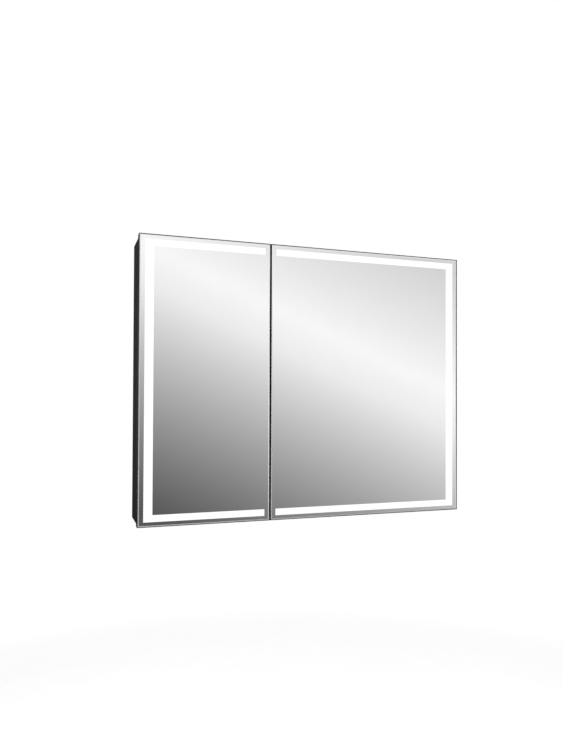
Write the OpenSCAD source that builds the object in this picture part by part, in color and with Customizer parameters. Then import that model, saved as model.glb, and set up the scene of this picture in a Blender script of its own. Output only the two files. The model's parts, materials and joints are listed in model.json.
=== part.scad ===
// Two-door mirrored medicine cabinet with lit bands, wall hung.
// Origin: centre of the wall face. +X to the right, +Y into the wall, +Z up.

/* [Cabinet] */
// Overall width across both doors
cabinet_w = 762; // [700:1:1100]
// Overall height of the doors
cabinet_h = 610; // [600:1:800]
// Overall depth from the wall to the front of the doors
cabinet_d = 127; // [115:1:170]
// Share of the width that belongs to the left door
left_share = 0.375; // [0.36:0.005:0.5]
// How far the doors stand past the body on each side
overhang = 2; // [1.5:0.5:3]
// Wall thickness of the hollow body members
panel_t = 15; // [15:1:18]
// Thickness of the centre divider
divider_t = 18; // [18:1:24]

/* [Doors] */
// Thickness of a door
door_t = 22; // [22:1:26]
// Free space between the closed doors and the body
door_gap = 3; // [3:0.5:5]
// Gap between the two doors
split_gap = 1.5; // [1.5:0.5:4]
// Width of the black lip seen round each mirror
lip_w = 1.1; // [0.8:0.1:1.4]
// Thickness of the front mirror
glass_t = 4; // [3:0.5:5]
// Hinge opening height above and below the middle
hinge_z = 200; // [180:5:220]

/* [Light bands] */
// Distance from the outer edge of a door to its upright band
band_side_margin = 12.5; // [11:0.5:30]
// Distance from the top and bottom of a door to its level bands
band_level_margin = 10.5; // [10:0.5:30]
// Distance from the ends of the level bands to the meeting edge
band_end_margin = 12; // [10:0.5:30]
// Width of the upright band
band_side_w = 18.5; // [14:0.5:30]
// Width of the level bands
band_level_w = 14.5; // [14:0.5:30]
// Distance between neighbouring light chips
chip_pitch = 32; // [20:1:60]

/* [Inside] */
// Spacing of the three shelves
shelf_pitch = 144; // [130:1:160]
// Thickness of a glass shelf
shelf_t = 6; // [5:1:8]
// Depth of a glass shelf
shelf_d = 84; // [70:1:90]
// Spacing of the shelf pin holes
pin_row_pitch = 32; // [16:1:40]
// Height of the cover over the electrics
cover_h = 32; // [30:1:40]
// Distance between the wall screws from side to side
screw_x = 406.4; // [380:0.1:420]
// Distance between the wall screws from top to bottom
screw_z = 460; // [400:1:470]

/* [Hidden] */
$fn = 48;

LEFT = -1;
RIGHT = 1;
cut = 1;                       // how far a cutting shape runs past the face it cuts

// Body
body_w = cabinet_w - 2 * overhang;
body_h = cabinet_h - 2 * overhang;
body_d = cabinet_d - door_t - door_gap;
skin_t = 1.8;                  // wall of a hollow body member
front_wall_t = 6;              // front wall of a hollow body member
rear_wall_t = 6;
web_t = 1.6;
chamber_d = (body_d - front_wall_t - rear_wall_t - 2 * web_t) / 3;
edge_chamfer = 0.8;
key_leg = 32;

// Back panel and its rebate
back_t = 1.5;
rebate_w = 8;
mirror_t = 3;
back_clear = 0.5;
back_half_w = body_w / 2 - panel_t + rebate_w;
back_half_h = body_h / 2 - panel_t + rebate_w;
back_screw_r = 1.5;
back_screw_head_r = 2.6;
back_screw_in = rebate_w / 2;
back_screw_len = 6.5;
wall_hole_r = 3.5;
mirror_hole_r = 7;             // room for a wall screw's head

// Divider
divider_x = -cabinet_w / 2 + cabinet_w * left_share;
divider_front_t = 8;
port_web_t = 8;
divider_rear_t = 2;
divider_d = body_d - back_t;
divider_chamber_d = (divider_d - divider_front_t - divider_rear_t - 2 * port_web_t) / 3;
port_r = 1.8;
port_screw_grip = 14;          // how far a divider screw runs into its port
port_y = [for (i = [0, 1])
    -body_d + divider_front_t + divider_chamber_d + port_web_t / 2
    + i * (port_web_t + divider_chamber_d)];

// Bays, each as its left and right inner faces
bay_half_h = body_h / 2 - panel_t;
left_bay = [-body_w / 2 + panel_t, divider_x - divider_t / 2];
right_bay = [divider_x + divider_t / 2, body_w / 2 - panel_t];
back_y = -back_t - mirror_t;   // front face of the back mirrors

// Shelves and their pins
shelf_levels = [-shelf_pitch, 0, shelf_pitch];
shelf_side_clear = 1;
shelf_back_clear = 1.5;
shelf_corner_r = 6;
pin_r = 2.5;
pin_reach = 8;
pin_depth = 6;
pin_ys = [-80, -20];

// Doors
left_door_w = cabinet_w * left_share - split_gap / 2;
right_door_w = cabinet_w * (1 - left_share) - split_gap / 2;
outer_wall_t = 1.8;
ledge_t = 2;
ledge_reach = 9.5;
inner_wall_u = 8;
flange_t = 2;
flange_reach = 14;
glass_set = 1;                 // how far the mirror sits behind the lip
glass_back = glass_set + glass_t;
glass_clear = 0.1;
chamber_front = glass_back + ledge_t;
chamber_back = door_t - flange_t;
lip_chamfer = 0.25;
door_key_leg = 28;
plate_t = 1.5;
rear_clear = 0.2;

// Light bands
band_depth = 7;
band_clear = 0.1;
strip_w = 8;
strip_t = 1.2;
chip_size = 3;
chip_t = 0.8;

// Hinges: the axis lies inside the outer rear corner of the door
axis_u = 4.5;
axis_v = door_t - 4.5;
pin_axis_x = cabinet_w / 2 - axis_u;
pin_axis_y = -cabinet_d + axis_v;
hinge_pin_r = 2;
eye_bore_r = hinge_pin_r + 0.05;
eye_r = 3.9;
eye_h = 20;
notch_reach = 10;
notch_front = axis_v - 5.5;
notch_half_h = eye_h / 2 + 1;
insert_h = 15;
hinge_pin_half = notch_half_h + insert_h - 2;
arm_x = [pin_axis_x - 2.5, pin_axis_x + 1];
leaf_w = 12;
leaf_t = 2.5;
leaf_h = 56;
leaf_x = body_w / 2 - 1.5 - leaf_w / 2;
leaf_screw_z = 20;
leaf_screw_r = 2;
leaf_screw_len = 12;

// Catches, bumpers and lead glands
catch_z = 180;
magnet_r = 3;
magnet_x = 4.8;
magnet_len = 7.4;
magnet_proud = 1.4;
strike_w = 11;
strike_h = 30;
strike_t = 0.8;
bumper_r = 4;
bumper_t = 2.6;
bumper_x = 20;
gland_z = 250;
gland_r = 2.6;
gland_bore_r = 1.4;
gland_rim_r = 3.6;
gland_rim_t = 0.5;
gland_len = 3.5;
gland_u = 4.9;

// Electrics under the top panel, in the right bay
cover_t = 1.2;
cover_front_y = -62;
cover_flange = 10;
cover_z = bay_half_h - cover_h;
cover_x = [right_bay[0] + 0.5, right_bay[1] - 0.5];
cover_screw_r = 1.5;
cover_screw_x = [for (i = [0:2]) cover_x[0] + 30 + i * (cover_x[1] - cover_x[0] - 60) / 2];
cover_screw_y = cover_front_y - cover_flange / 2;
switch_x = right_bay[0] + 60;
switch_z = bay_half_h - 16;
switch_r = 9;
switch_rim_r = 11;
switch_rim_t = 1.5;
switch_len = 16;
button_r = 7;
button_bore_r = button_r + 0.06;
button_len = 14;
button_proud = 3;
driver_size = [160, 42, 21];
driver_x = right_bay[0] + 200;
driver_y = -52;
driver_tab = 12;
block_size = [45, 18, 15];
block_x = right_bay[0] + 130;
block_y = -40;
cable_x = right_bay[0] + 152;
cable_r = 9;
cable_bore_r = 5;

// ---------------------------------------------------------------- shared shapes

// A hollow bar along Z with both ends mitred. The profile is (distance from the outer face, y).
module mitred_bar(length, width) {
    half = length / 2;
    intersection() {
        translate([0, 0, -half]) linear_extrude(length) children();
        rotate([90, 0, 0])
            linear_extrude(2 * cabinet_d + 100, center = true)
                polygon([[0, -half], [0, half], [width, half - width], [width, width - half]]);
    }
}

// An L-shaped key in an upper left corner; near and far are its faces' distances from the edges
module corner_key(near, far, leg, depth) {
    rotate([90, 0, 0])
        linear_extrude(depth, center = true)
            polygon([[near, -near], [leg, -near], [leg, -far], [far, -far], [far, -leg],
                     [near, -leg]]);
}

// Puts children, drawn at the upper left corner, at all four corners
module at_corners(width, height) {
    for (sx = [0, 1], sz = [0, 1])
        mirror([sx, 0, 0])
            mirror([0, 0, sz])
                translate([-width / 2, 0, height / 2])
                    children();
}

// Puts children on the given side; they are drawn for the left side
module on_side(side) {
    mirror([side == RIGHT ? 1 : 0, 0, 0]) children();
}

// A cylinder along Y from y = from to y = to
module y_rod(r, from, to) {
    translate([0, from, 0]) rotate([-90, 0, 0]) cylinder(r = r, h = to - from);
}

// A countersunk screw whose flat head lies at the origin and whose shank runs along +Z
module flat_screw(r, head_r, length) {
    head_h = head_r - r;
    cylinder(r1 = head_r, r2 = r, h = head_h);
    translate([0, 0, head_h]) cylinder(r = r, h = length - head_h);
}

// The same screw with a cross recess in its head
module cross_screw(r, head_r, length) {
    slot_w = 0.6;
    slot_depth = 0.9;
    difference() {
        flat_screw(r, head_r, length);
        for (a = [0, 90])
            rotate([0, 0, a])
                translate([-head_r * 0.6, -slot_w / 2, -cut])
                    cube([head_r * 1.2, slot_w, cut + slot_depth]);
    }
}

// ---------------------------------------------------------------- body

module body_profile() {
    difference() {
        polygon([[edge_chamfer, -body_d], [panel_t, -body_d], [panel_t, -back_t],
                 [panel_t - rebate_w, -back_t], [panel_t - rebate_w, 0], [edge_chamfer, 0],
                 [0, -edge_chamfer], [0, edge_chamfer - body_d]]);
        for (i = [0:2])
            translate([skin_t, -body_d + front_wall_t + i * (chamber_d + web_t)])
                square([panel_t - 2 * skin_t, chamber_d]);
    }
}

module leaf_pocket(extra) {
    translate([-leaf_x - leaf_w / 2, -body_d - extra, -leaf_h / 2])
        cube([leaf_w, leaf_t + extra, leaf_h]);
}

// Shelf pin holes, cut along +X from the plane x = 0
module pin_holes(depth) {
    for (z = shelf_levels, row = [-1:1], y = pin_ys)
        translate([-cut, y, z + row * pin_row_pitch])
            rotate([0, 90, 0])
                cylinder(r = pin_r, h = depth + cut);
}

// Drawn for the left side
module side_panel() {
    difference() {
        translate([-body_w / 2, 0, 0])
            mitred_bar(body_h, panel_t)
                body_profile();
        for (z = [-hinge_z, hinge_z])
            translate([0, 0, z]) {
                leaf_pocket(cut);
                for (dz = [-leaf_screw_z, leaf_screw_z])
                    translate([-leaf_x, 0, dz])
                        y_rod(leaf_screw_r, -body_d, -body_d + leaf_screw_len);
            }
        translate([left_bay[0], 0, 0])
            mirror([1, 0, 0])
                pin_holes(pin_depth);
        translate([-body_w / 2 + panel_t / 2, 0, gland_z])
            y_rod(gland_r, -body_d - cut, -body_d + front_wall_t + cut);
        back_screw_holes();
    }
}

module side_panel_left() {
    color([0.16, 0.16, 0.155]) on_side(LEFT) side_panel();
}

module side_panel_right() {
    color([0.16, 0.16, 0.155]) on_side(RIGHT) side_panel();
}

// Holes for the screws that hold the divider, countersunk in the outer skin
module divider_screw_holes() {
    for (y = port_y)
        translate([divider_x, y, body_h / 2])
            rotate([180, 0, 0])
                flat_screw(port_r, 2 * port_r, panel_t + cut);
}

module top_bar() {
    difference() {
        translate([0, 0, body_h / 2])
            rotate([0, 90, 0])
                mitred_bar(body_w, panel_t)
                    body_profile();
        back_screw_holes();
    }
}

module top_panel() {
    color([0.16, 0.16, 0.155])
        difference() {
            top_bar();
            divider_screw_holes();
            for (x = cover_screw_x)
                translate([x, cover_screw_y, bay_half_h - cut])
                    cylinder(r = cover_screw_r, h = skin_t + 7);
        }
}

module bottom_panel() {
    color([0.16, 0.16, 0.155])
        mirror([0, 0, 1])
            difference() {
                top_bar();
                divider_screw_holes();
            }
}

module centre_divider() {
    inner_w = divider_t - 2 * skin_t;
    color([0.72, 0.73, 0.74])
        difference() {
            translate([divider_x - divider_t / 2, -body_d, -bay_half_h])
                cube([divider_t, divider_d, 2 * bay_half_h]);
            for (i = [0:2])
                translate([divider_x - inner_w / 2,
                           -body_d + divider_front_t + i * (divider_chamber_d + port_web_t),
                           -bay_half_h - cut])
                    cube([inner_w, divider_chamber_d, 2 * bay_half_h + 2 * cut]);
            for (y = port_y)
                translate([divider_x, y, -bay_half_h - cut])
                    cylinder(r = port_r, h = 2 * bay_half_h + 2 * cut);
            translate([left_bay[1], 0, 0]) pin_holes(pin_depth);
            translate([right_bay[0], 0, 0]) mirror([1, 0, 0]) pin_holes(pin_depth);
            for (x = [-magnet_x, magnet_x], z = [-catch_z, catch_z])
                translate([divider_x + x, 0, z])
                    y_rod(magnet_r, -body_d - cut, -body_d - magnet_proud + magnet_len);
        }
}

// Keys in the front and rear chambers
module body_corner_keys() {
    front_key_y = -body_d + front_wall_t + chamber_d / 2;
    color([0.6, 0.6, 0.62])
        for (y = [front_key_y, front_key_y + 2 * (chamber_d + web_t)])
            translate([0, y, 0])
                at_corners(body_w, body_h)
                    corner_key(skin_t, panel_t - skin_t, key_leg, chamber_d);
}

module divider_screws() {
    color([0.2, 0.2, 0.2])
        for (up = [0, 1], y = port_y)
            mirror([0, 0, up])
                translate([divider_x, y, body_h / 2])
                    rotate([180, 0, 0])
                        cross_screw(port_r, 2 * port_r, panel_t + port_screw_grip);
}

module at_back_screws() {
    for (x = [-1, 1] * (back_half_w - back_screw_in), z = [-1, 0, 1] * (back_half_h - 40))
        translate([x, 0, z]) rotate([90, 0, 0]) children();
    for (x = [-1, 0, 1] * (back_half_w - 90), z = [-1, 1] * (back_half_h - back_screw_in))
        translate([x, 0, z]) rotate([90, 0, 0]) children();
}

module back_screw_holes() {
    at_back_screws() cylinder(r = back_screw_r, h = back_screw_len);
}

module wall_screw_holes(r, from, to) {
    for (x = [-screw_x / 2, screw_x / 2], z = [-screw_z / 2, screw_z / 2])
        translate([x, 0, z]) y_rod(r, from, to);
}

module back_panel() {
    color([0.62, 0.63, 0.64])
        difference() {
            translate([-back_half_w, -back_t, -back_half_h])
                cube([2 * back_half_w, back_t, 2 * back_half_h]);
            wall_screw_holes(wall_hole_r, -back_t - cut, cut);
            translate([cable_x, 0, switch_z]) y_rod(cable_r, -back_t - cut, cut);
            at_back_screws() flat_screw(back_screw_r, back_screw_head_r, back_t + cut);
        }
}

module back_panel_screws() {
    color([0.8, 0.8, 0.8])
        at_back_screws() cross_screw(back_screw_r, back_screw_head_r, back_screw_len);
}

// A back mirror over one bay, up to the height top_z
module back_mirror(bay, top_z) {
    difference() {
        translate([bay[0] + back_clear, back_y, -bay_half_h + back_clear])
            cube([bay[1] - bay[0] - 2 * back_clear, mirror_t,
                  top_z + bay_half_h - 2 * back_clear]);
        wall_screw_holes(mirror_hole_r, back_y - cut, -back_t + cut);
    }
}

module back_mirror_left() {
    color([0.8, 0.83, 0.84]) back_mirror(left_bay, bay_half_h);
}

module back_mirror_right() {
    color([0.8, 0.83, 0.84]) back_mirror(right_bay, cover_z);
}

// ---------------------------------------------------------------- shelves

// A glass shelf on the pins at the given level, with rounded front corners
module shelf(bay, level) {
    width = bay[1] - bay[0] - 2 * shelf_side_clear;
    r = shelf_corner_r;
    color([0.75, 0.88, 0.85, 0.6])
        translate([bay[0] + shelf_side_clear, back_y - shelf_back_clear - shelf_d, level + pin_r]) {
            translate([0, r, 0]) cube([width, shelf_d - r, shelf_t]);
            translate([r, 0, 0]) cube([width - 2 * r, shelf_d, shelf_t]);
            for (x = [r, width - r])
                translate([x, r, 0]) cylinder(r = r, h = shelf_t);
        }
}

module shelf_left_lower() shelf(left_bay, shelf_levels[0]);
module shelf_left_middle() shelf(left_bay, shelf_levels[1]);
module shelf_left_upper() shelf(left_bay, shelf_levels[2]);
module shelf_right_lower() shelf(right_bay, shelf_levels[0]);
module shelf_right_middle() shelf(right_bay, shelf_levels[1]);
module shelf_right_upper() shelf(right_bay, shelf_levels[2]);

module shelf_pins(bay) {
    color([0.8, 0.8, 0.82])
        for (z = shelf_levels, y = pin_ys) {
            translate([bay[0] - pin_depth, y, z])
                rotate([0, 90, 0])
                    cylinder(r = pin_r, h = pin_depth + pin_reach);
            translate([bay[1] - pin_reach, y, z])
                rotate([0, 90, 0])
                    cylinder(r = pin_r, h = pin_depth + pin_reach);
        }
}

module shelf_pins_left() shelf_pins(left_bay);
module shelf_pins_right() shelf_pins(right_bay);

// ---------------------------------------------------------------- electrics

module electrics_cover() {
    length = cover_x[1] - cover_x[0];
    color([0.9, 0.9, 0.89])
        difference() {
            translate([cover_x[0], 0, 0])
                union() {
                    translate([0, cover_front_y, cover_z])
                        cube([length, -back_t - cover_front_y, cover_t]);
                    translate([0, cover_front_y, cover_z]) cube([length, cover_t, cover_h]);
                    translate([0, cover_front_y - cover_flange, bay_half_h - cover_t])
                        cube([length, cover_flange + cover_t, cover_t]);
                    for (x = [0, length - cover_t])
                        translate([x, cover_front_y, cover_z])
                            cube([cover_t, -back_t - cover_front_y, cover_h]);
                }
            translate([switch_x, 0, switch_z])
                y_rod(switch_r, cover_front_y - cut, cover_front_y + cover_t + cut);
            for (x = cover_screw_x)
                translate([x, cover_screw_y, bay_half_h - cover_t - cut])
                    cylinder(r = cover_screw_r, h = cover_t + 2 * cut);
        }
}

module cover_screws() {
    head_h = 2;
    color([0.8, 0.8, 0.8])
        for (x = cover_screw_x)
            translate([x, cover_screw_y, bay_half_h - cover_t])
                difference() {
                    union() {
                        translate([0, 0, -head_h]) cylinder(r = 3.2, h = head_h);
                        cylinder(r = cover_screw_r, h = cover_t + skin_t + 5);
                    }
                    for (a = [0, 90])
                        rotate([0, 0, a])
                            translate([-2, -0.5, -head_h - cut])
                                cube([4, 1, cut + 0.9]);
                }
}

module led_driver() {
    tab_t = 2;
    color([0.93, 0.93, 0.92])
        translate([driver_x, driver_y, bay_half_h])
            difference() {
                union() {
                    translate([0, 0, -driver_size[2] - tab_t]) cube(driver_size);
                    translate([-driver_tab, 0, -tab_t])
                        cube([driver_size[0] + 2 * driver_tab, driver_size[1], tab_t]);
                }
                for (x = [-driver_tab / 2, driver_size[0] + driver_tab / 2],
                     y = [8, driver_size[1] - 8])
                    translate([x, y, -tab_t - cut]) cylinder(r = 1.8, h = tab_t + 2 * cut);
            }
}

module terminal_block() {
    color([0.2, 0.2, 0.2])
        translate([block_x - block_size[0] / 2, block_y, bay_half_h - block_size[2]])
            difference() {
                cube(block_size);
                for (i = [0:2])
                    translate([9 + i * 13.5, 0, block_size[2] / 2])
                        y_rod(2, -cut, 12);
                for (i = [0:2])
                    translate([9 + i * 13.5, 6, -cut]) cylinder(r = 2.4, h = 5 + cut);
            }
}

module cable_grommet() {
    color([0.1, 0.1, 0.1])
        translate([cable_x, 0, switch_z])
            difference() {
                union() {
                    y_rod(cable_r, -back_t, 0);
                    y_rod(cable_r + 3, -back_t - 1.5, -back_t);
                    y_rod(cable_r - 1.5, -back_t - 4.5, -back_t - 1.5);
                }
                y_rod(cable_bore_r, -back_t - 4.5 - cut, cut);
            }
}

module switch_housing() {
    color([0.15, 0.15, 0.15])
        translate([switch_x, cover_front_y, switch_z])
            difference() {
                union() {
                    y_rod(switch_rim_r, -switch_rim_t, 0);
                    y_rod(switch_r, 0, switch_len);
                }
                y_rod(button_bore_r, -switch_rim_t - cut, switch_len - 2);
            }
}

module switch_button() {
    front = -switch_rim_t - button_proud;
    dish_r = 20;
    color([0.85, 0.86, 0.87])
        translate([switch_x, cover_front_y, switch_z])
            difference() {
                y_rod(button_r, front, front + button_len);
                translate([0, front - dish_r + 0.8, 0]) sphere(r = dish_r, $fn = 96);
            }
}

// ---------------------------------------------------------------- hinges and catches on the body

// Leaf, arm and eye of both brackets, drawn for the left side
module hinge_brackets() {
    for (z = [-hinge_z, hinge_z])
        translate([0, 0, z])
            difference() {
                union() {
                    leaf_pocket(0);
                    translate([-arm_x[1], pin_axis_y, -eye_h / 2])
                        cube([arm_x[1] - arm_x[0], -body_d - pin_axis_y, eye_h]);
                    translate([-pin_axis_x, pin_axis_y, -eye_h / 2])
                        cylinder(r = eye_r, h = eye_h);
                }
                translate([-pin_axis_x, pin_axis_y, -eye_h / 2 - cut])
                    cylinder(r = eye_bore_r, h = eye_h + 2 * cut);
                for (dz = [-leaf_screw_z, leaf_screw_z])
                    translate([-leaf_x, -body_d, dz])
                        rotate([-90, 0, 0])
                            flat_screw(leaf_screw_r, 2 * leaf_screw_r, leaf_t + cut);
            }
}

module hinge_brackets_left() {
    color([0.18, 0.18, 0.18]) on_side(LEFT) hinge_brackets();
}

module hinge_brackets_right() {
    color([0.18, 0.18, 0.18]) on_side(RIGHT) hinge_brackets();
}

module hinge_screws() {
    color([0.75, 0.75, 0.76])
        for (side = [LEFT, RIGHT], z = [-hinge_z, hinge_z], dz = [-leaf_screw_z, leaf_screw_z])
            on_side(side)
                translate([-leaf_x, -body_d, z + dz])
                    rotate([-90, 0, 0])
                        cross_screw(leaf_screw_r, 2 * leaf_screw_r, leaf_screw_len);
}

module door_magnets() {
    color([0.7, 0.7, 0.72])
        for (x = [-magnet_x, magnet_x], z = [-catch_z, catch_z])
            translate([divider_x + x, -body_d - magnet_proud, z])
                y_rod(magnet_r, 0, magnet_len);
}

module door_bumpers() {
    color([0.12, 0.12, 0.12])
        for (x = [-bumper_x, bumper_x], z = [-1, 1] * (bay_half_h + panel_t / 2))
            translate([divider_x + x, -body_d, z])
                y_rod(bumper_r, -bumper_t, 0);
}

// A rubber lead gland in a wall whose outer face is y = 0, seen from -Y
module lead_gland() {
    difference() {
        union() {
            y_rod(gland_rim_r, -gland_rim_t, 0);
            y_rod(gland_r, 0, gland_len);
        }
        y_rod(gland_bore_r, -gland_rim_t - cut, gland_len + cut);
    }
}

module body_lead_glands() {
    color([0.1, 0.1, 0.1])
        for (side = [LEFT, RIGHT])
            on_side(side)
                translate([-body_w / 2 + panel_t / 2, -body_d, gland_z])
                    lead_gland();
}

// ---------------------------------------------------------------- doors

// Door parts are drawn with x from the hinge edge, y from the front and z from the middle
module at_door(side) {
    on_side(side) translate([-cabinet_w / 2, -cabinet_d, 0]) children();
}

module door_profile() {
    difference() {
        polygon([[lip_chamfer, 0], [flange_reach, 0], [flange_reach, door_t],
                 [edge_chamfer, door_t], [0, door_t - edge_chamfer], [0, lip_chamfer]]);
        translate([lip_w, -cut]) square([flange_reach, glass_back + cut]);
        translate([ledge_reach, 0]) square([flange_reach, chamber_back]);
        translate([outer_wall_t, chamber_front])
            square([inner_wall_u - outer_wall_t, chamber_back - chamber_front]);
    }
}

module stile() {
    mitred_bar(cabinet_h, flange_reach) door_profile();
}

module hinge_stile() {
    difference() {
        stile();
        for (z = [-hinge_z, hinge_z])
            translate([-cut, notch_front, z - notch_half_h])
                cube([notch_reach + cut, door_t, 2 * notch_half_h]);
        translate([gland_u, 0, gland_z]) y_rod(gland_r, chamber_back - cut, door_t + cut);
    }
}

module free_stile(width) {
    translate([width, 0, 0]) mirror([1, 0, 0]) stile();
}

module top_rail(width) {
    translate([width / 2, 0, cabinet_h / 2])
        rotate([0, 90, 0])
            mitred_bar(width, flange_reach)
                door_profile();
}

module door_keys(width) {
    depth = chamber_back - chamber_front;
    translate([width / 2, chamber_front + depth / 2, 0])
        at_corners(width, cabinet_h)
            corner_key(outer_wall_t, inner_wall_u, door_key_leg, depth);
}

// The C-shaped outline of a light band, smaller all round by the given gap
module band_outline(width, gap) {
    half = cabinet_h / 2 - band_level_margin - gap;
    left = band_side_margin + gap;
    right = width - band_end_margin - gap;
    inner_half = cabinet_h / 2 - band_level_margin - band_level_w + gap;
    inner_left = band_side_margin + band_side_w - gap;
    polygon([[left, -half], [right, -half], [right, -inner_half], [inner_left, -inner_half],
             [inner_left, inner_half], [right, inner_half], [right, half], [left, half]]);
}

module mirror_pane(width) {
    inset = lip_w + glass_clear;
    difference() {
        translate([inset, glass_set, inset - cabinet_h / 2])
            cube([width - 2 * inset, glass_t, cabinet_h - 2 * inset]);
        translate([0, glass_back + cut, 0])
            rotate([90, 0, 0])
                linear_extrude(glass_t + 2 * cut)
                    band_outline(width, 0);
    }
}

module light_band(width) {
    translate([0, glass_set + band_depth, 0])
        rotate([90, 0, 0])
            linear_extrude(band_depth)
                band_outline(width, band_clear);
}

// A C-shaped strip that follows the middle of the band, with evenly spaced chips
module led_strip(width) {
    side_mid = band_side_margin + band_side_w / 2;
    level_mid = cabinet_h / 2 - band_level_margin - band_level_w / 2;
    strip_end = width - band_end_margin - 4;
    strip_v = chamber_back - plate_t - strip_t;
    level_count = floor((strip_end - side_mid - chip_pitch / 2) / chip_pitch);
    side_count = floor((2 * level_mid - chip_pitch) / chip_pitch);
    translate([side_mid - strip_w / 2, strip_v, -level_mid - strip_w / 2])
        cube([strip_w, strip_t, 2 * level_mid + strip_w]);
    for (z = [-level_mid, level_mid])
        translate([side_mid, strip_v, z - strip_w / 2])
            cube([strip_end - side_mid, strip_t, strip_w]);
    for (z = [-level_mid, level_mid], i = [1:level_count])
        translate([side_mid + i * chip_pitch, strip_v, z]) chip();
    for (i = [0:side_count])
        translate([side_mid, strip_v, (i - side_count / 2) * chip_pitch]) chip();
}

module chip() {
    translate([-chip_size / 2, -chip_t, -chip_size / 2]) cube([chip_size, chip_t, chip_size]);
}

// A plate behind the door's front, kept back from every edge by the given inset
module door_plate(width, inset, from, thickness) {
    translate([inset, from, inset - cabinet_h / 2])
        cube([width - 2 * inset, thickness, cabinet_h - 2 * inset]);
}

module back_plate(width) {
    door_plate(width, ledge_reach, chamber_back - plate_t, plate_t);
}

module rear_mirror(width) {
    door_plate(width, flange_reach + rear_clear, chamber_back, flange_t);
}

module hinge_inserts() {
    for (z = [-hinge_z, hinge_z], up = [0, 1])
        translate([0, 0, z])
            mirror([0, 0, up])
                difference() {
                    translate([outer_wall_t, chamber_front, notch_half_h])
                        cube([inner_wall_u - outer_wall_t, chamber_back - chamber_front,
                              insert_h]);
                    translate([axis_u, axis_v, 0])
                        cylinder(r = hinge_pin_r, h = hinge_pin_half);
                }
}

module hinge_pins() {
    for (z = [-hinge_z, hinge_z])
        translate([axis_u, axis_v, z - hinge_pin_half])
            cylinder(r = hinge_pin_r, h = 2 * hinge_pin_half);
}

module strike_plates(width) {
    for (z = [-catch_z, catch_z])
        translate([width - strike_w - 1.5, door_t, z - strike_h / 2])
            cube([strike_w, strike_t, strike_h]);
}

module door_gland() {
    translate([gland_u, door_t, gland_z]) mirror([0, 1, 0]) lead_gland();
}

module left_hinge_stile() { color([0.14, 0.14, 0.14]) at_door(LEFT) hinge_stile(); }
module left_free_stile() { color([0.14, 0.14, 0.14]) at_door(LEFT) free_stile(left_door_w); }
module left_top_rail() { color([0.14, 0.14, 0.14]) at_door(LEFT) top_rail(left_door_w); }
module left_bottom_rail() {
    color([0.14, 0.14, 0.14]) mirror([0, 0, 1]) at_door(LEFT) top_rail(left_door_w);
}
module left_corner_keys() { color([0.6, 0.6, 0.62]) at_door(LEFT) door_keys(left_door_w); }
module left_mirror() { color([0.78, 0.8, 0.81]) at_door(LEFT) mirror_pane(left_door_w); }
module left_light_band() { color([1, 1, 1]) at_door(LEFT) light_band(left_door_w); }
module left_led_strip() { color([0.95, 0.9, 0.6]) at_door(LEFT) led_strip(left_door_w); }
module left_back_plate() { color([0.6, 0.6, 0.6]) at_door(LEFT) back_plate(left_door_w); }
module left_rear_mirror() { color([0.8, 0.83, 0.84]) at_door(LEFT) rear_mirror(left_door_w); }
module left_hinge_inserts() { color([0.5, 0.5, 0.52]) at_door(LEFT) hinge_inserts(); }
module left_hinge_pins() { color([0.8, 0.8, 0.82]) at_door(LEFT) hinge_pins(); }
module left_strike_plates() { color([0.8, 0.8, 0.82]) at_door(LEFT) strike_plates(left_door_w); }
module left_lead_gland() { color([0.1, 0.1, 0.1]) at_door(LEFT) door_gland(); }

module right_hinge_stile() { color([0.14, 0.14, 0.14]) at_door(RIGHT) hinge_stile(); }
module right_free_stile() { color([0.14, 0.14, 0.14]) at_door(RIGHT) free_stile(right_door_w); }
module right_top_rail() { color([0.14, 0.14, 0.14]) at_door(RIGHT) top_rail(right_door_w); }
module right_bottom_rail() {
    color([0.14, 0.14, 0.14]) mirror([0, 0, 1]) at_door(RIGHT) top_rail(right_door_w);
}
module right_corner_keys() { color([0.6, 0.6, 0.62]) at_door(RIGHT) door_keys(right_door_w); }
module right_mirror() { color([0.78, 0.8, 0.81]) at_door(RIGHT) mirror_pane(right_door_w); }
module right_light_band() { color([1, 1, 1]) at_door(RIGHT) light_band(right_door_w); }
module right_led_strip() { color([0.95, 0.9, 0.6]) at_door(RIGHT) led_strip(right_door_w); }
module right_back_plate() { color([0.6, 0.6, 0.6]) at_door(RIGHT) back_plate(right_door_w); }
module right_rear_mirror() { color([0.8, 0.83, 0.84]) at_door(RIGHT) rear_mirror(right_door_w); }
module right_hinge_inserts() { color([0.5, 0.5, 0.52]) at_door(RIGHT) hinge_inserts(); }
module right_hinge_pins() { color([0.8, 0.8, 0.82]) at_door(RIGHT) hinge_pins(); }
module right_strike_plates() {
    color([0.8, 0.8, 0.82]) at_door(RIGHT) strike_plates(right_door_w);
}
module right_lead_gland() { color([0.1, 0.1, 0.1]) at_door(RIGHT) door_gland(); }

side_panel_left();
side_panel_right();
top_panel();
bottom_panel();
centre_divider();
back_panel();
back_mirror_left();
back_mirror_right();
body_corner_keys();
divider_screws();
back_panel_screws();
shelf_left_lower();
shelf_left_middle();
shelf_left_upper();
shelf_right_lower();
shelf_right_middle();
shelf_right_upper();
shelf_pins_left();
shelf_pins_right();
electrics_cover();
cover_screws();
led_driver();
terminal_block();
cable_grommet();
switch_housing();
switch_button();
hinge_brackets_left();
hinge_brackets_right();
hinge_screws();
door_magnets();
door_bumpers();
body_lead_glands();
left_hinge_stile();
left_free_stile();
left_top_rail();
left_bottom_rail();
left_corner_keys();
left_mirror();
left_light_band();
left_led_strip();
left_back_plate();
left_rear_mirror();
left_hinge_inserts();
left_hinge_pins();
left_strike_plates();
left_lead_gland();
right_hinge_stile();
right_free_stile();
right_top_rail();
right_bottom_rail();
right_corner_keys();
right_mirror();
right_light_band();
right_led_strip();
right_back_plate();
right_rear_mirror();
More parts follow.
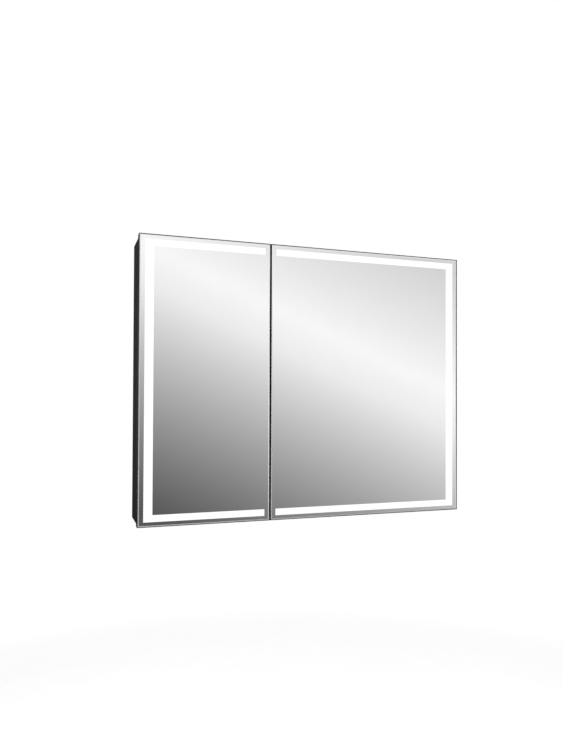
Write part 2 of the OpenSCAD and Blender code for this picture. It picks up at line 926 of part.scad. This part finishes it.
right_hinge_inserts();
right_hinge_pins();
right_strike_plates();
right_lead_gland();
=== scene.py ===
import json
import math

import bmesh
import bpy
from mathutils import Matrix, Vector


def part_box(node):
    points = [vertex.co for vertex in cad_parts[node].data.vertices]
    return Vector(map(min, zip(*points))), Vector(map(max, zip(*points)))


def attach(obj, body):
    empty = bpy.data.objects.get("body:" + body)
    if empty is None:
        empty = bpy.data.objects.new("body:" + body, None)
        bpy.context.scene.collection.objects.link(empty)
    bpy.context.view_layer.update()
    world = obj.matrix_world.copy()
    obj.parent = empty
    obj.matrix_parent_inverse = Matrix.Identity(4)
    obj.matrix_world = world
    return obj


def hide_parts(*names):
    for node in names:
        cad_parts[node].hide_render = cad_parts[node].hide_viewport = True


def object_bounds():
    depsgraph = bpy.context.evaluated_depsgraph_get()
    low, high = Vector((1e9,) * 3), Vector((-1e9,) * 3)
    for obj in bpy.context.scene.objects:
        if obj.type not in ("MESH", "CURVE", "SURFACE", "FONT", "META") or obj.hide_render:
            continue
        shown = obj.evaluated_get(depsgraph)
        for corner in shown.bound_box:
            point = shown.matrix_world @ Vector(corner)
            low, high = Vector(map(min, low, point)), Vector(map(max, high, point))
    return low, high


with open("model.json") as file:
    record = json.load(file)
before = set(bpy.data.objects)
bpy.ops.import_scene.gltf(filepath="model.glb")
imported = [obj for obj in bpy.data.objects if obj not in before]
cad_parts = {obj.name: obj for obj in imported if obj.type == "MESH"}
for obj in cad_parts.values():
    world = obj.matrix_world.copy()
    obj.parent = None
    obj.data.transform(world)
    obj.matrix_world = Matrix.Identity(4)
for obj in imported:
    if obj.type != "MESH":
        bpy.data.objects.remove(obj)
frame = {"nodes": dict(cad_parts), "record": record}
cad_low, cad_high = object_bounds()

MM = 0.001
nodes = frame["nodes"]
scene = bpy.context.scene
scene.view_settings.view_transform = "Standard"


# ---------------------------------------------------------------- node helpers

# A Mix node's colour sockets come after those for numbers and vectors.
MIX_FIRST, MIX_SECOND, MIX_RESULT = 6, 7, 2


class Nodes:
    """A node tree, with short ways to add nodes and join them."""

    def __init__(self, tree):
        self.tree = tree

    def add(self, kind, **settings):
        node = self.tree.nodes.new("ShaderNode" + kind)
        for key, value in settings.items():
            setattr(node, key, value)
        return node

    def link(self, source, socket):
        self.tree.links.new(source, socket)

    def feed(self, source, socket):
        """Gives a socket its value: the output of a node, a colour or a number."""
        if isinstance(source, bpy.types.NodeSocket):
            self.link(source, socket)
        elif isinstance(source, tuple):
            socket.default_value = (*source, 1)
        else:
            socket.default_value = source

    def remap(self, value, low, high, start=0.3, end=0.7, curve="LINEAR"):
        """Spreads value from start..end, where most of a noise lies by default, to low..high."""
        node = self.add("MapRange", interpolation_type=curve)
        for name, number in zip(("From Min", "From Max", "To Min", "To Max"), (start, end, low, high)):
            node.inputs[name].default_value = number
        self.link(value, node.inputs["Value"])
        return node.outputs["Result"]

    def mix(self, factor, first, second, blend="MIX"):
        """A colour between first and second; each is a colour or an output."""
        node = self.add("Mix", data_type="RGBA", blend_type=blend)
        self.feed(factor, node.inputs["Factor"])
        self.feed(first, node.inputs[MIX_FIRST])
        self.feed(second, node.inputs[MIX_SECOND])
        return node.outputs[MIX_RESULT]

    def dot(self, first, second):
        """The dot product of an output with another output or a fixed vector."""
        node = self.add("VectorMath", operation="DOT_PRODUCT")
        self.link(first, node.inputs[0])
        if isinstance(second, tuple):
            node.inputs[1].default_value = second
        else:
            self.link(second, node.inputs[1])
        return node.outputs["Value"]


class Shader(Nodes):
    """A material with one Principled shader, and the patterns that drive it."""

    def __init__(self, name, **values):
        self.material = bpy.data.materials.new(name)
        self.material.use_nodes = True
        super().__init__(self.material.node_tree)
        self.principled = self.tree.nodes["Principled BSDF"]
        for key, value in values.items():
            self.principled.inputs[key.replace("_", " ")].default_value = value

    def coords(self, stretch=(1, 1, 1)):
        """Positions in the object's own frame in metres, stretched along each axis."""
        mapping = self.add("Mapping")
        mapping.inputs["Scale"].default_value = stretch
        self.link(self.add("TexCoord").outputs["Object"], mapping.inputs["Vector"])
        return mapping.outputs["Vector"]

    def noise(self, size, detail=3.0, stretch=(1, 1, 1)):
        """Noise from 0 to 1 whose features are about size metres across."""
        node = self.add("TexNoise")
        node.inputs["Scale"].default_value = 1 / size
        node.inputs["Detail"].default_value = detail
        self.link(self.coords(stretch), node.inputs["Vector"])
        return node.outputs["Fac"]

    def bevel(self, radius):
        """Normals that turn smoothly over edges, as if a bevel of that radius rounded them."""
        node = self.add("Bevel", samples=4)
        node.inputs["Radius"].default_value = radius
        return node.outputs["Normal"]

    def edges(self, radius):
        """1 on edges that a bevel of the given radius would round, 0 on flat faces."""
        worn, untouched = 0.75, 0.98
        agreement = self.dot(self.bevel(radius), self.add("NewGeometry").outputs["Normal"])
        return self.remap(agreement, 1, 0, worn, untouched)

    def colour(self, output):
        self.link(output, self.principled.inputs["Base Color"])

    def roughness(self, output):
        self.link(output, self.principled.inputs["Roughness"])

    def relief(self, height, depth, bevel=0.0):
        """Bumps of the given depth in metres, on top of edges rounded by the bevel radius."""
        bump = self.add("Bump")
        bump.inputs["Strength"].default_value = 1
        bump.inputs["Distance"].default_value = depth
        self.link(height, bump.inputs["Height"])
        if bevel:
            self.link(self.bevel(bevel), bump.inputs["Normal"])
        self.link(bump.outputs["Normal"], self.principled.inputs["Normal"])


# ---------------------------------------------------------------- kinds of material

GLASS_IOR = 1.52


def scaled(colour, factor):
    return tuple(min(1, factor * c) for c in colour)


def coated(name, dark, light, roughness, worn=None, sheen=0.3):
    """A sprayed coat: fine orange peel, slow colour drift and slightly rubbed edges."""
    s = Shader(name, Specular_IOR_Level=sheen)
    drift = s.remap(s.noise(60 * MM, detail=4), 0, 1)
    rubbed = worn or scaled(light, 2.2)
    s.colour(s.mix(s.edges(0.5 * MM), s.mix(drift, dark, light), rubbed))
    s.roughness(s.remap(s.noise(22 * MM, detail=5), roughness - 0.05, roughness + 0.06))
    orange_peel = s.noise(0.6 * MM, detail=2)
    s.relief(orange_peel, depth=0.012 * MM, bevel=0.3 * MM)
    return s.material


def brushed(name, dark, light, roughness, along, grain=0.25 * MM, metallic=1.0, sheen=0.5):
    """Metal with fine lines that run along the given axis: 0 for X, 1 for Y, 2 for Z."""
    bevel = 0.25 * MM
    stretch = [1.0, 1.0, 1.0]
    stretch[along] = 0.012
    s = Shader(name, Metallic=metallic, Specular_IOR_Level=sheen)
    lines = s.noise(grain, detail=3, stretch=stretch)
    streaks = s.remap(s.noise(8 * grain, detail=4, stretch=stretch), 0, 1)
    s.colour(s.mix(s.edges(bevel), s.mix(streaks, dark, light), scaled(light, 1.5)))
    s.roughness(s.remap(lines, roughness - 0.08, roughness + 0.1))
    s.relief(lines, depth=0.003 * MM, bevel=bevel)
    return s.material


def plated(name, colour, roughness):
    """Plated metal with faint cloudy variation in its polish."""
    s = Shader(name, Metallic=1.0)
    cloud = s.noise(3 * MM, detail=4)
    s.colour(s.mix(s.remap(cloud, 0, 1), scaled(colour, 0.9), colour))
    s.roughness(s.remap(cloud, roughness, roughness + 0.1))
    s.relief(s.noise(0.5 * MM, detail=2), depth=0.002 * MM, bevel=0.15 * MM)
    return s.material


def moulded(name, dark, light, roughness):
    """Moulded plastic or rubber with a fine spark texture."""
    s = Shader(name)
    s.colour(s.mix(s.remap(s.noise(12 * MM, detail=4), 0, 1), dark, light))
    s.roughness(s.remap(s.noise(4 * MM, detail=4), roughness - 0.06, roughness + 0.06))
    spark_texture = s.noise(0.35 * MM, detail=2)
    s.relief(spark_texture, depth=0.01 * MM, bevel=0.25 * MM)
    return s.material


def silvered(name, colour):
    """Polished silvered glass, with the faintest haze and float-glass waves."""
    s = Shader(name, Metallic=1.0)
    haze = s.noise(45 * MM, detail=5)
    s.colour(s.mix(s.remap(haze, 0, 1), scaled(colour, 0.992), colour))
    s.roughness(s.remap(haze, 0.004, 0.016))
    waves = s.noise(180 * MM, detail=1)
    s.relief(waves, depth=0.004 * MM)
    return s.material


def ground_glass(name, dark, light):
    """The polished arris of a mirror: silver seen through pale, slightly green, hazy glass."""
    s = Shader(name, IOR=GLASS_IOR, Metallic=0.62)
    s.colour(s.mix(s.remap(s.noise(5 * MM, detail=4), 0, 1), dark, light))
    s.roughness(s.remap(s.noise(1.5 * MM, detail=3), 0.14, 0.24))
    s.relief(s.noise(0.3 * MM, detail=2), depth=0.002 * MM)
    return s.material


def frosted_light(name):
    """A frosted diffuser lit from behind."""
    s = Shader(name, Emission_Strength=1.0)
    cloud = s.remap(s.noise(30 * MM, detail=4), 0, 1)
    s.colour(s.mix(cloud, (0.18, 0.18, 0.18), (0.22, 0.22, 0.22)))
    glow = s.mix(cloud, (0.77, 0.77, 0.77), (0.82, 0.82, 0.82))
    s.link(glow, s.principled.inputs["Emission Color"])
    s.roughness(s.remap(s.noise(1.2 * MM, detail=3), 0.5, 0.62))
    s.relief(s.noise(0.3 * MM, detail=2), depth=0.004 * MM, bevel=0.2 * MM)
    return s.material


def clear_glass(name, colour, roughness=0.01):
    """Toughened glass with slightly uneven polish and very slow waves."""
    s = Shader(name, IOR=GLASS_IOR, Transmission_Weight=1.0, Base_Color=(*colour, 1))
    s.roughness(s.remap(s.noise(20 * MM, detail=5), roughness, roughness + 0.02))
    waves = s.noise(120 * MM, detail=1)
    s.relief(waves, depth=0.003 * MM)
    return s.material


# ---------------------------------------------------------------- this cabinet's materials

ALONG_X, ALONG_Z = 0, 2
FRAME_DARK = (0.009, 0.009, 0.009)
FRAME_LIGHT = (0.013, 0.013, 0.013)
FRAME_FINISH = {"roughness": 0.42, "metallic": 0.0, "sheen": 0.12}
BLACK_COAT = coated("black_coat", (0.015, 0.015, 0.0147), (0.019, 0.019, 0.0186), 0.55, sheen=0.12)
FRAME_UPRIGHT = brushed("frame_upright", FRAME_DARK, FRAME_LIGHT, along=ALONG_Z, **FRAME_FINISH)
FRAME_LEVEL = brushed("frame_level", FRAME_DARK, FRAME_LIGHT, along=ALONG_X, **FRAME_FINISH)
BRUSHED_UPRIGHT = brushed("brushed_upright", (0.5, 0.51, 0.52), (0.62, 0.63, 0.64), 0.34, ALONG_Z)
SHEET = brushed("sheet", (0.42, 0.425, 0.43), (0.55, 0.555, 0.56), 0.42, ALONG_X, grain=0.5 * MM)
SPUN_CAP = brushed("spun_cap", (0.5, 0.51, 0.52), (0.64, 0.65, 0.66), 0.3, ALONG_X)
FRONT_SILVER = silvered("front_silver", (0.938, 0.938, 0.937))
INNER_SILVER = silvered("inner_silver", (0.86, 0.885, 0.88))
ARRIS = ground_glass("arris", (0.84, 0.91, 0.87), (0.9, 0.95, 0.92))
BACKING = coated("mirror_backing", (0.2, 0.22, 0.24), (0.24, 0.26, 0.28), 0.55)
LIGHT = frosted_light("lit_diffuser")
SHELF_GLASS = clear_glass("shelf_glass_face", (0.94, 0.985, 0.97))
SHELF_EDGE = clear_glass("shelf_glass_edge", (0.45, 0.8, 0.68), 0.06)
BLACK_OXIDE = plated("black_oxide", (0.05, 0.05, 0.05), 0.35)
ZINC = plated("zinc_plate", (0.62, 0.63, 0.64), 0.28)
CHROME = plated("chrome_plate", (0.78, 0.79, 0.8), 0.08)
NICKEL = plated("nickel_plate", (0.66, 0.65, 0.62), 0.16)
CAST_ZINC = plated("cast_zinc", (0.42, 0.43, 0.45), 0.45)
WHITE_COAT = coated("white_coat", (0.76, 0.76, 0.75), (0.82, 0.82, 0.81), 0.42,
                    worn=(0.84, 0.84, 0.83))
BRACKET_COAT = coated("bracket_coat", (0.02, 0.02, 0.02), (0.028, 0.028, 0.028), 0.4)
DARK_PLASTIC = moulded("dark_plastic", (0.03, 0.03, 0.03), (0.04, 0.04, 0.04), 0.5)
RUBBER = moulded("rubber", (0.018, 0.018, 0.018), (0.026, 0.026, 0.026), 0.72)
BOARD = moulded("led_board", (0.78, 0.76, 0.66), (0.86, 0.85, 0.78), 0.45)

SLOT_LOOKS = {
    "black_body": BLACK_COAT,
    "black_frame": FRAME_UPRIGHT,
    "satin_aluminium": BRUSHED_UPRIGHT,
    "sheet_metal": SHEET,
    "front_mirror": FRONT_SILVER,
    "interior_mirror": INNER_SILVER,
    "light_band": LIGHT,
    "shelf_glass": SHELF_GLASS,
    "dark_fasteners": BLACK_OXIDE,
    "bright_fasteners": ZINC,
    "chrome_pins": CHROME,
    "white_cover": WHITE_COAT,
    "dark_plastic": DARK_PLASTIC,
    "rubber": RUBBER,
    "switch_cap": SPUN_CAP,
    "black_bracket": BRACKET_COAT,
    "magnet": NICKEL,
    "led_board": BOARD,
    "zinc_insert": CAST_ZINC,
    "strike_steel": NICKEL,
}


def dress_cad_nodes():
    """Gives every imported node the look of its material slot; a rail's grain runs along X."""
    for part in frame["record"]["subparts"]:
        look = SLOT_LOOKS[part["material_slot"]]
        if part["node"].endswith("_rail"):
            look = FRAME_LEVEL
        slots = nodes[part["node"]].data.materials
        slots.clear()
        slots.append(look)


# ---------------------------------------------------------------- glass pieces

# Widths of the upright and level stretches of the opening for a light band, and the joint that
# it leaves round the band
BAND_UPRIGHT_W = 18.5 * MM
BAND_LEVEL_W = 14.5 * MM
BAND_JOINT = 0.1 * MM
# Width of the arris round a mirror, and how far it drops back at the rim
FRONT_ARRIS_W = 2.3 * MM
FRONT_ARRIS_DROP = 0.3 * MM
REAR_ARRIS_W = 1.2 * MM
REAR_ARRIS_DROP = 0.5 * MM
# A glass shelf's front corners and its polished edge
SHELF_CORNER_R = 6 * MM
SHELF_EDGE_R = 1.5 * MM


def new_object(name, mesh, looks):
    for look in looks:
        mesh.materials.append(look)
    piece = bpy.data.objects.new(name, mesh)
    scene.collection.objects.link(piece)
    return piece


def cell_plate(name, xs, zs, front, back, rim, is_open, looks):
    """A plate made of the cells between the lines xs and zs. Its face lies at Y = front, but the
    outermost line of the face lies at Y = rim, which forms an arris. Cells for which is_open is
    true are left out. looks holds the face, edge and rear materials."""
    face_look, edge_look, rear_look = range(3)
    columns, rows = len(xs) - 1, len(zs) - 1
    bm = bmesh.new()
    corners = {}

    def corner(i, j, at_front):
        key = (i, j, at_front)
        if key not in corners:
            on_rim = i in (0, columns) or j in (0, rows)
            face_y = rim if on_rim else front
            corners[key] = bm.verts.new((xs[i], face_y if at_front else back, zs[j]))
        return corners[key]

    def solid(i, j):
        return 0 <= i < columns and 0 <= j < rows and not is_open(i, j)

    def add_face(places, look):
        bm.faces.new([corner(*place) for place in places]).material_index = look

    for i in range(columns):
        for j in range(rows):
            if not solid(i, j):
                continue
            in_arris = i in (0, columns - 1) or j in (0, rows - 1)
            ring = [(i, j), (i + 1, j), (i + 1, j + 1), (i, j + 1)]
            add_face([(*place, True) for place in ring], edge_look if in_arris else face_look)
            add_face([(*place, False) for place in reversed(ring)], rear_look)
            neighbours = [(i, j - 1), (i + 1, j), (i, j + 1), (i - 1, j)]
            for k, neighbour in enumerate(neighbours):
                if not solid(*neighbour):
                    start, end = ring[k], ring[(k + 1) % 4]
                    add_face([(*end, True), (*start, True), (*start, False), (*end, False)], edge_look)
    bmesh.ops.recalc_face_normals(bm, faces=bm.faces)
    mesh = bpy.data.meshes.new(name)
    bm.to_mesh(mesh)
    bm.free()
    return new_object(name, mesh, looks)


def front_pane(side):
    """The front mirror of a door, with the C-shaped opening that its light band fills."""
    low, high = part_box(f"{side}_mirror")
    band_low, band_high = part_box(f"{side}_light_band")
    left, right = band_low.x - BAND_JOINT, band_high.x + BAND_JOINT
    bottom, top = band_low.z - BAND_JOINT, band_high.z + BAND_JOINT

    # Columns and rows 0 and 1 are the arris and the margin. The opening lies in the next ones.
    left_column, right_column = 2, 3
    bottom_row, middle_row, top_row = 2, 3, 4
    if side == "left":
        upright_column, level_column = left_column, right_column
        split = left + BAND_UPRIGHT_W
    else:
        upright_column, level_column = right_column, left_column
        split = right - BAND_UPRIGHT_W
    xs = [low.x, low.x + FRONT_ARRIS_W, left, split, right, high.x - FRONT_ARRIS_W, high.x]
    zs = [low.z, low.z + FRONT_ARRIS_W, bottom, bottom + BAND_LEVEL_W,
          top - BAND_LEVEL_W, top, high.z - FRONT_ARRIS_W, high.z]

    def is_open(i, j):
        if i == upright_column:
            return j in (bottom_row, middle_row, top_row)
        return i == level_column and j in (bottom_row, top_row)

    pane = cell_plate(f"{side}_front_pane", xs, zs, low.y, high.y, low.y + FRONT_ARRIS_DROP,
                      is_open, (FRONT_SILVER, ARRIS, BACKING))
    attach(pane, f"{side}_door")
    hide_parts(f"{side}_mirror")


def rear_pane(side):
    """The mirror on the inside of a door; its polished face looks into the cabinet."""
    low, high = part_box(f"{side}_rear_mirror")
    xs = [low.x, low.x + REAR_ARRIS_W, high.x - REAR_ARRIS_W, high.x]
    zs = [low.z, low.z + REAR_ARRIS_W, high.z - REAR_ARRIS_W, high.z]
    pane = cell_plate(f"{side}_rear_pane", xs, zs, high.y, low.y, high.y - REAR_ARRIS_DROP,
                      lambda i, j: False, (INNER_SILVER, ARRIS, BACKING))
    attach(pane, f"{side}_door")
    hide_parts(f"{side}_rear_mirror")


def glass_shelf(node):
    """A shelf with rounded front corners and a polished, rounded edge all round."""
    low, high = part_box(node)
    size = high - low
    bm = bmesh.new()
    bmesh.ops.create_cube(bm, size=1)
    bmesh.ops.scale(bm, vec=size, verts=bm.verts)
    bmesh.ops.translate(bm, vec=(low + high) / 2, verts=bm.verts)

    def rise(edge):
        return abs(edge.verts[0].co.z - edge.verts[1].co.z)

    uprights = [e for e in bm.edges if rise(e) > size.z / 2 and e.verts[0].co.y < low.y + MM]
    bmesh.ops.bevel(bm, geom=uprights, offset=SHELF_CORNER_R, segments=8, profile=0.5, affect="EDGES")
    rims = [e for e in bm.edges if rise(e) < MM / 10]
    bmesh.ops.bevel(bm, geom=rims, offset=SHELF_EDGE_R, segments=4, profile=0.5, affect="EDGES")
    for face in bm.faces:
        is_flat = abs(face.normal.z) > 0.99
        face.material_index = 0 if is_flat else 1
        face.smooth = not is_flat
    mesh = bpy.data.meshes.new(node)
    bm.to_mesh(mesh)
    bm.free()
    shelf = new_object(f"{node}_glass", mesh, (SHELF_GLASS, SHELF_EDGE))
    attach(shelf, "cabinet")
    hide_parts(node)


# ---------------------------------------------------------------- studio, lights and camera

WHITE = (1, 1, 1)

# What the mirrors reflect, along a way that points down and to the left. Stops are (how far
# along that way, from -1 to 1; shade as the eye sees it), and the light is the shade to this
# power. The studio is brightest just above the horizon, darkest below it, and lighter again at
# the floor.
DARK_WAY = (-0.4, -0.15, -0.9)
STUDIO_STOPS = [(-1, 0.85), (-0.25, 0.85), (-0.1, 1), (-0.05, 0.95), (0.25, 0.35), (1, 0.75)]
SHADE_GAMMA = 2.2

# Towards the rear left the studio dims. The reach says how far along that way this starts and
# ends, and the light is the share that is left there.
REAR_LEFT_WAY = (-0.6, 0.8, 0)
REAR_LEFT_REACH = (0.2, 0.85)
REAR_LEFT_LIGHT = 0.28

# Light that falls on dull surfaces from the far left and from the far right
RIGHT_WAY = (1, 0, 0)
FILL_LIGHT = (0.5, 1.65)

# Each lamp's place and width in metres, and its power in watts
SOFT_LIGHTS = {
    "key": ((-0.9, -2.2, 2.0), 1.6, 30),
    "rim": ((1.2, 1.8, 1.6), 1.4, 18),
}

# The floor's distance below the cabinet, and where it starts to fade out and ends
FLOOR_DROP = 1.0
FADE_START = 0.6
FLOOR_R = 2.4

HEADING = math.radians(19.476)
TILT = math.radians(0.899)
ROLL = math.radians(0.226)
EYE = Vector((-0.5263, -1.5246, -0.041))
SENSOR_W = 36
FOCAL_LENGTH = 31.81
SHIFT = (-0.0215, 0.02)


def build_world():
    """A white backdrop to the eye, and a graded studio for what the mirrors reflect."""
    world = bpy.data.worlds.new("studio")
    scene.world = world
    world.use_nodes = True
    w = Nodes(world.node_tree)
    direction = w.add("TexCoord").outputs["Generated"]

    ramp = w.add("ValToRGB")
    w.link(w.remap(w.dot(direction, DARK_WAY), 0, 1, -1, 1), ramp.inputs["Fac"])
    stops = ramp.color_ramp.elements
    stops.remove(stops[1])
    stops[0].color = (STUDIO_STOPS[0][1],) * 3 + (1,)
    for place, shade in STUDIO_STOPS[1:]:
        stops.new((place + 1) / 2).color = (shade, shade, shade, 1)
    light = w.add("Gamma")
    w.link(ramp.outputs["Color"], light.inputs["Color"])
    light.inputs["Gamma"].default_value = SHADE_GAMMA

    dimming = w.remap(w.dot(direction, REAR_LEFT_WAY), 1, REAR_LEFT_LIGHT, *REAR_LEFT_REACH,
                      curve="SMOOTHSTEP")
    reflected = w.mix(1, light.outputs["Color"], dimming, blend="MULTIPLY")
    fill = w.remap(w.dot(direction, RIGHT_WAY), *FILL_LIGHT, -1, 1)

    path = w.add("LightPath")
    lit = w.mix(path.outputs["Is Diffuse Ray"], reflected, fill)
    seen = w.mix(path.outputs["Is Camera Ray"], lit, WHITE)
    w.link(seen, w.tree.nodes["Background"].inputs["Color"])


def build_floor():
    """A pale round floor that fades into the backdrop."""
    bpy.ops.mesh.primitive_circle_add(vertices=96, radius=FLOOR_R, fill_type="NGON",
                                      location=(0, 0, cad_low.z - FLOOR_DROP))
    floor = bpy.context.object
    floor.name = "floor"
    s = Shader("pale_floor", Specular_IOR_Level=0.1)
    s.colour(s.mix(s.remap(s.noise(0.4, detail=4), 0, 1), (0.9, 0.9, 0.9), (0.93, 0.93, 0.93)))
    s.roughness(s.remap(s.noise(0.1, detail=4), 0.7, 0.85))
    distance = s.add("VectorMath", operation="LENGTH")
    s.link(s.coords(), distance.inputs[0])
    fade = s.remap(distance.outputs["Value"], 1, 0, FADE_START, FLOOR_R)
    s.link(fade, s.principled.inputs["Alpha"])
    floor.data.materials.append(s.material)
    floor.visible_glossy = False


def soft_light(name, place, width, power):
    """A round lamp that faces the origin and isn't seen in the mirrors."""
    data = bpy.data.lights.new(name, "AREA")
    data.shape = "DISK"
    data.size = width
    data.energy = power
    lamp = bpy.data.objects.new(name, data)
    lamp.location = place
    lamp.rotation_euler = (-Vector(place)).to_track_quat("-Z", "Y").to_euler()
    lamp.visible_glossy = False
    scene.collection.objects.link(lamp)


def build_camera():
    data = bpy.data.cameras.new("camera")
    data.sensor_width = SENSOR_W
    data.lens = FOCAL_LENGTH
    data.shift_x, data.shift_y = SHIFT
    camera = bpy.data.objects.new("camera", data)
    turn = (Matrix.Rotation(-HEADING, 4, "Z") @ Matrix.Rotation(math.pi / 2 + TILT, 4, "X")
            @ Matrix.Rotation(ROLL, 4, "Z"))
    camera.matrix_world = Matrix.Translation(EYE) @ turn
    scene.collection.objects.link(camera)
    scene.camera = camera


build_camera()
build_world()
build_floor()
for lamp_name, (place, width, power) in SOFT_LIGHTS.items():
    soft_light(lamp_name, place, width, power)

dress_cad_nodes()
for door in ("left", "right"):
    front_pane(door)
    rear_pane(door)
for part in frame["record"]["subparts"]:
    if part["material_slot"] == "shelf_glass":
        glass_shelf(part["node"])
